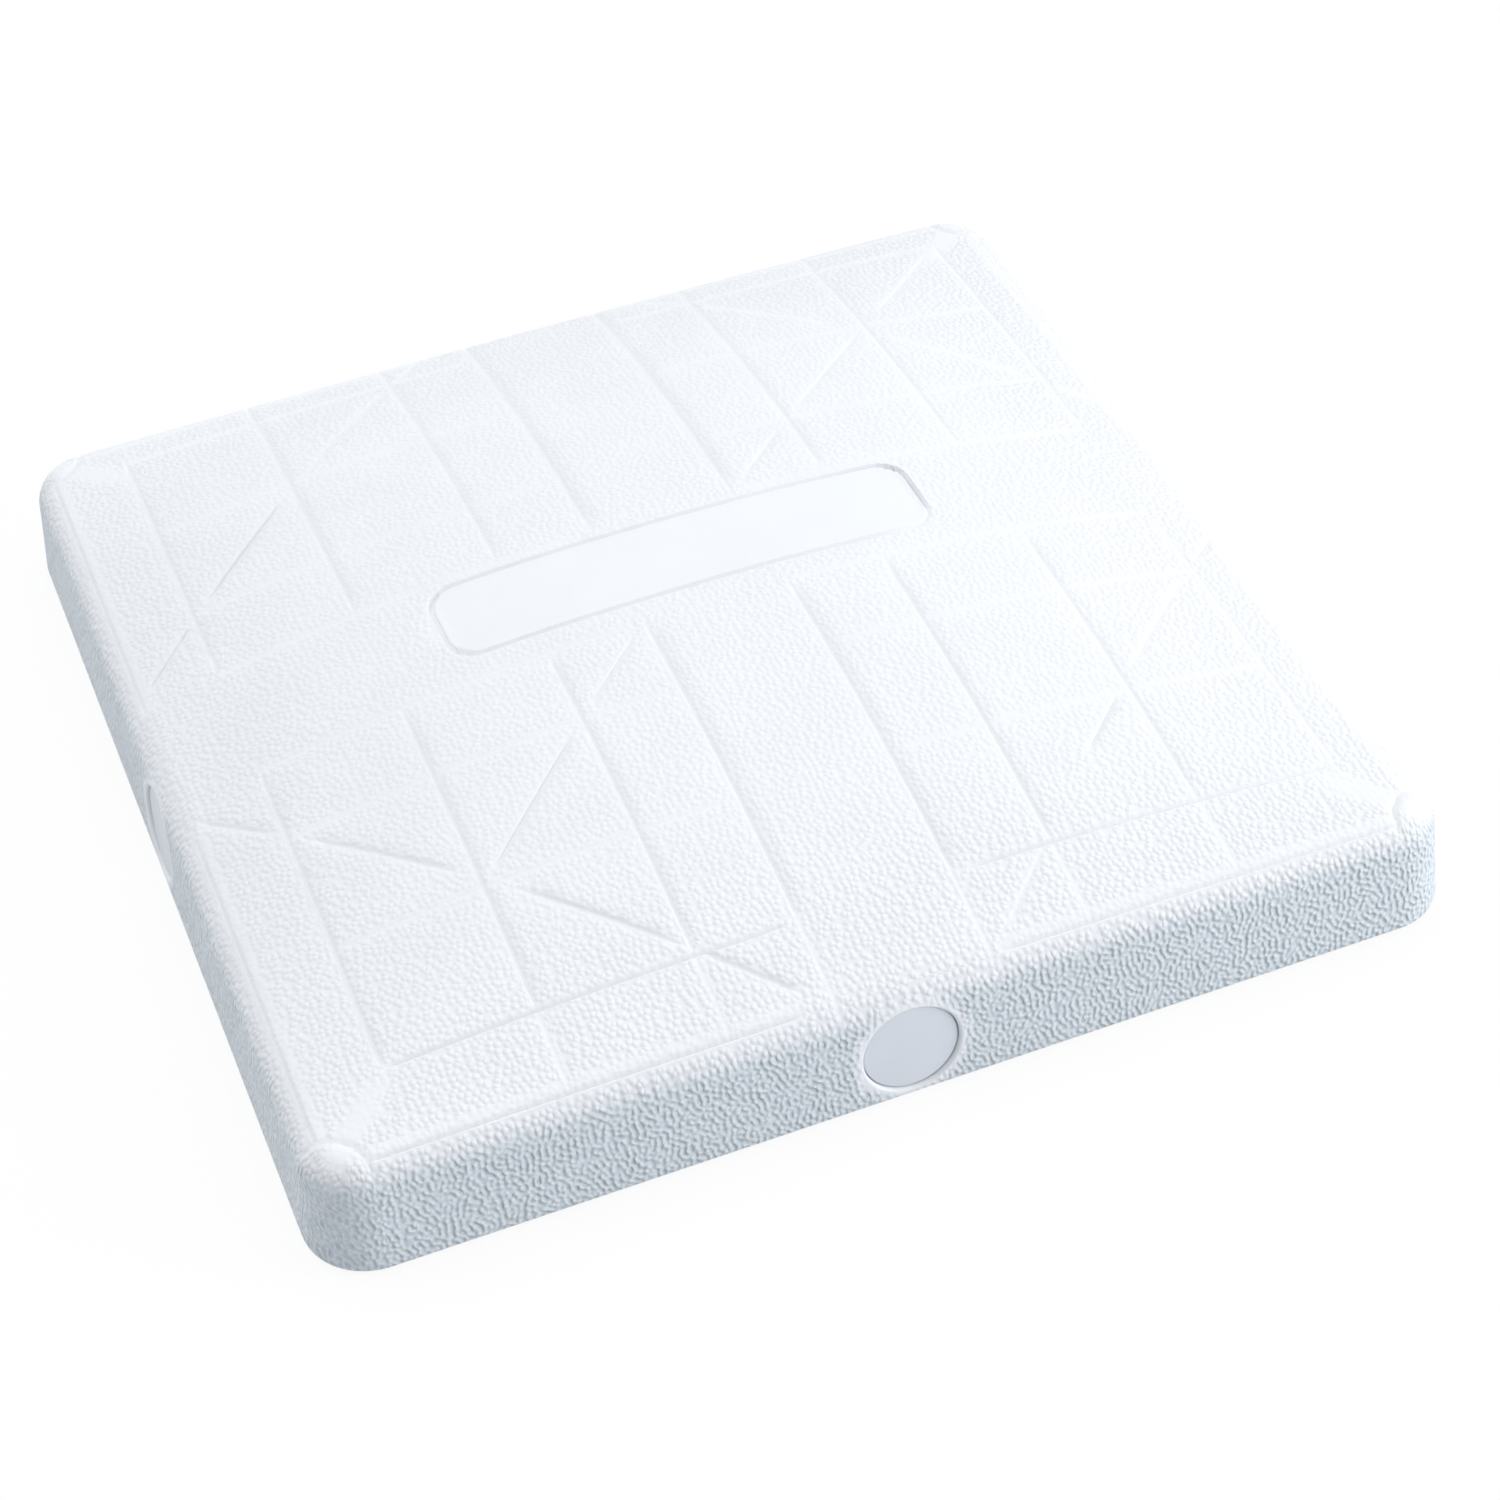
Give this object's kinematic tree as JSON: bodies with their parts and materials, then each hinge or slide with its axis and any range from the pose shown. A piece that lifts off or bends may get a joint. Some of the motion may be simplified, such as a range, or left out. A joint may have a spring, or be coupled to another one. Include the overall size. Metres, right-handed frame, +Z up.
{
  "type": "baseball base",
  "caption": "Square crowned baseball base: moulded white rubber cover over a foam core and steel frame, with pull-out round plugs in its sides and a bolted seat for a ground stem.",
  "frame": {"origin": "on the ground, under the middle of the base", "axes": "+Z up through the crowned top; the front side, seen in the picture, faces -Y; +X to the right of it"},
  "size_m": [0.3806, 0.3806, 0.065],
  "materials": {
    "white_rubber": "matte",
    "plug_rubber": "satin",
    "core_foam": "matte",
    "zinc_steel": "satin",
    "dark_steel": "satin"
  },
  "bodies": {
    "base": {"rubber_cover": "white_rubber", "foam_core": "core_foam", "bottom_plate": "zinc_steel", "stem_plate": "dark_steel", "stem_nut_front_left": "zinc_steel", "stem_nut_front_right": "zinc_steel", "stem_nut_back_right": "zinc_steel", "stem_nut_back_left": "zinc_steel", "frame_rail_front": "dark_steel", "frame_rail_back": "dark_steel", "frame_rail_left": "dark_steel", "frame_rail_right": "dark_steel", "cross_rail_left": "dark_steel", "cross_rail_right": "dark_steel", "plate_screw_front_a": "zinc_steel", "plate_screw_front_b": "zinc_steel", "plate_screw_right_a": "zinc_steel", "plate_screw_right_b": "zinc_steel", "plate_screw_back_a": "zinc_steel", "plate_screw_back_b": "zinc_steel", "plate_screw_left_a": "zinc_steel", "plate_screw_left_b": "zinc_steel"},
    "plug_front": {"side_plug_front": "plug_rubber"},
    "plug_right": {"side_plug_right": "plug_rubber"},
    "plug_back": {"side_plug_back": "plug_rubber"},
    "plug_left": {"side_plug_left": "plug_rubber"}
  },
  "joints": [
    {"name": "plug_front_pull", "type": "slide", "parent": "base", "child": "plug_front", "axis": [0, -0.996, 0.0896], "range_m": [0, 0.024]},
    {"name": "plug_right_pull", "type": "slide", "parent": "base", "child": "plug_right", "axis": [0.996, 0, 0.0896], "range_m": [0, 0.024]},
    {"name": "plug_back_pull", "type": "slide", "parent": "base", "child": "plug_back", "axis": [0, 0.996, 0.0896], "range_m": [0, 0.024]},
    {"name": "plug_left_pull", "type": "slide", "parent": "base", "child": "plug_left", "axis": [-0.996, 0, 0.0896], "range_m": [0, 0.024]}
  ]
}
